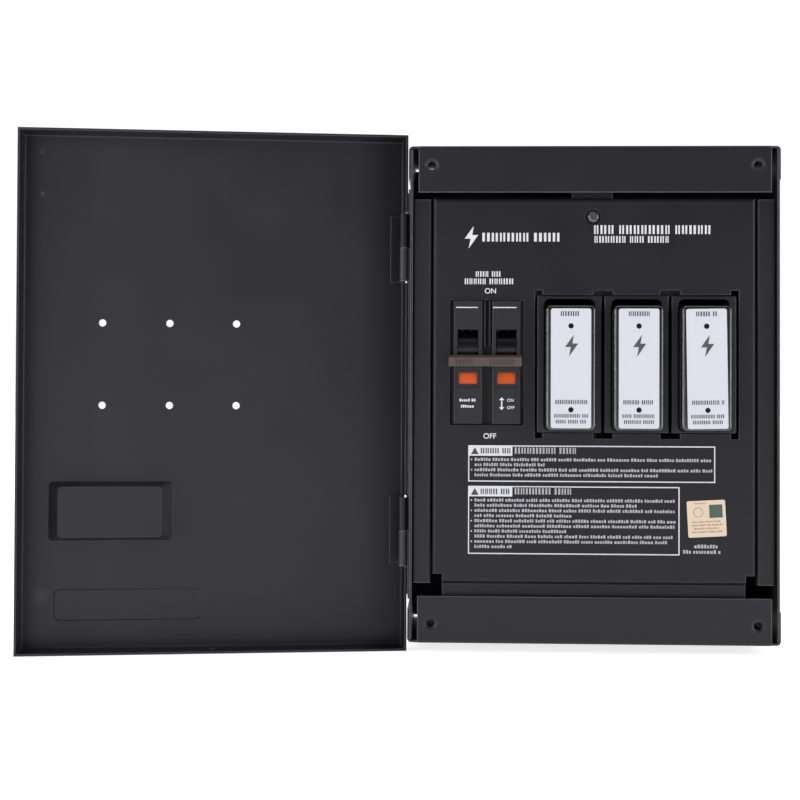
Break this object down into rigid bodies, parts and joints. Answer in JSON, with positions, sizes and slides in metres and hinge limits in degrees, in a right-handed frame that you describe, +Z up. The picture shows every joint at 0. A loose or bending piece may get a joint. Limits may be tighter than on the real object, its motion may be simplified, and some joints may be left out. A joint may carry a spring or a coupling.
{
  "type": "surge protective device enclosure",
  "caption": "Wall enclosure with a side-hung door, a deadfront, a two-pole power switch and a row of plug-in surge modules with status lamps.",
  "frame": {"origin": "centre of the enclosure's back outer face, on the wall", "axes": "+Y into the wall, so the front faces -Y; +X to the right seen from the front, +Z up; the door hangs on the -X side"},
  "size_m": [0.5224, 0.1313, 0.3574],
  "materials": {
    "enclosure_paint": "black powder coat, satin with a light orange peel",
    "door_paint": "black powder coat, satin with a light orange peel",
    "deadfront_paint": "smooth black powder coat",
    "hinge_steel": "zinc plated",
    "screw_black": "black oxide",
    "zinc_steel": "zinc plated",
    "galvanised": "galvanised sheet",
    "copper": "tin-free copper",
    "tinned_brass": "bright brass",
    "bar_aluminium": "extruded",
    "switch_case": "black moulded thermoset",
    "switch_handle": "black moulded",
    "tie_bar": "grey-brown moulded",
    "flag_orange": "orange moulded",
    "socket_plastic": "black moulded",
    "module_plastic": "glossy black moulded",
    "insulator": "cream moulded",
    "fishpaper": "grey-brown insulating sheet",
    "board_green": "green circuit board",
    "varistor_blue": "blue epoxy coat",
    "led_lens": "dark green lens, unlit",
    "wire_black": "black insulation",
    "wire_white": "white insulation",
    "wire_green": "green insulation"
  },
  "bodies": {
    "root": {"enclosure_body": "enclosure_paint", "top_end_cap": "enclosure_paint", "bottom_end_cap": "enclosure_paint", "conduit_knockouts": "enclosure_paint", "left_rail": "enclosure_paint", "right_rail": "enclosure_paint", "deadfront": "deadfront_paint", "deadfront_bracket": "enclosure_paint", "deadfront_screw": "screw_black", "hinge_wall_leaf": "hinge_steel", "hinge_pins": "zinc_steel", "chassis_plate": "galvanised", "chassis_standoffs": "zinc_steel", "chassis_screws": "zinc_steel", "ground_bar": "bar_aluminium", "neutral_bar": "bar_aluminium", "neutral_bar_insulators": "insulator", "clamp_screws": "zinc_steel", "breaker_foot": "switch_case", "line_stabs": "copper", "breaker_case_left": "switch_case", "breaker_case_right": "switch_case", "breaker_rivets": "zinc_steel", "handle_pins": "zinc_steel", "line_contacts": "copper", "arc_chutes": "zinc_steel", "load_lugs": "bar_aluminium", "bus_insulator": "fishpaper", "bus_bars": "copper", "bus_sockets": "tinned_brass", "terminal_block": "insulator", "terminal_clamps": "tinned_brass", "hot_wires": "wire_black", "neutral_wire": "wire_white", "ground_wire": "wire_green", "module_1_base": "socket_plastic", "module_2_base": "socket_plastic", "module_3_base": "socket_plastic"},
    "door": {"door_panel": "door_paint", "hinge_door_leaves": "door_paint"},
    "switch_handle": {"breaker_handles": "switch_handle", "handle_tie_bar": "tie_bar"},
    "switch_contacts": {"contact_arms": "copper", "contact_shaft": "switch_handle"},
    "switch_flags": {"position_flags": "flag_orange"},
    "module_1": {"module_1_housing": "module_plastic", "module_1_board": "board_green", "module_1_varistors": "varistor_blue", "module_1_leds": "led_lens", "module_1_blades": "tinned_brass"},
    "module_2": {"module_2_housing": "module_plastic", "module_2_board": "board_green", "module_2_varistors": "varistor_blue", "module_2_leds": "led_lens", "module_2_blades": "tinned_brass"},
    "module_3": {"module_3_housing": "module_plastic", "module_3_board": "board_green", "module_3_varistors": "varistor_blue", "module_3_leds": "led_lens", "module_3_blades": "tinned_brass"}
  },
  "joints": [
    {"name": "door_hinge", "type": "hinge", "parent": "root", "child": "door", "pos_m": [-0.1312, -0.096, 0], "axis": [0, 0, -1], "range_deg": [-172.5, 7.5]},
    {"name": "handle_pivot", "type": "hinge", "parent": "root", "child": "switch_handle", "pos_m": [-0.0735, -0.091, 0.0317], "axis": [-1, 0, 0], "range_deg": [0, 55]},
    {"name": "contact_pivot", "type": "hinge", "parent": "root", "child": "switch_contacts", "pos_m": [-0.0735, -0.068, 0.024], "axis": [-1, 0, 0], "range_deg": [0, 18]},
    {"name": "flag_pivot", "type": "hinge", "parent": "root", "child": "switch_flags", "pos_m": [-0.0735, -0.07, 0.00575], "axis": [1, 0, 0], "range_deg": [0, 19]},
    {"name": "module_1_slide", "type": "slide", "parent": "root", "child": "module_1", "axis": [0, -1, 0], "range_m": [0, 0.055]},
    {"name": "module_2_slide", "type": "slide", "parent": "root", "child": "module_2", "axis": [0, -1, 0], "range_m": [0, 0.055]},
    {"name": "module_3_slide", "type": "slide", "parent": "root", "child": "module_3", "axis": [0, -1, 0], "range_m": [0, 0.055]}
  ],
  "couplings": [
    {"joint": "contact_pivot", "follows": "handle_pivot", "ratio": 0.32727},
    {"joint": "flag_pivot", "follows": "handle_pivot", "ratio": 0.34545}
  ]
}
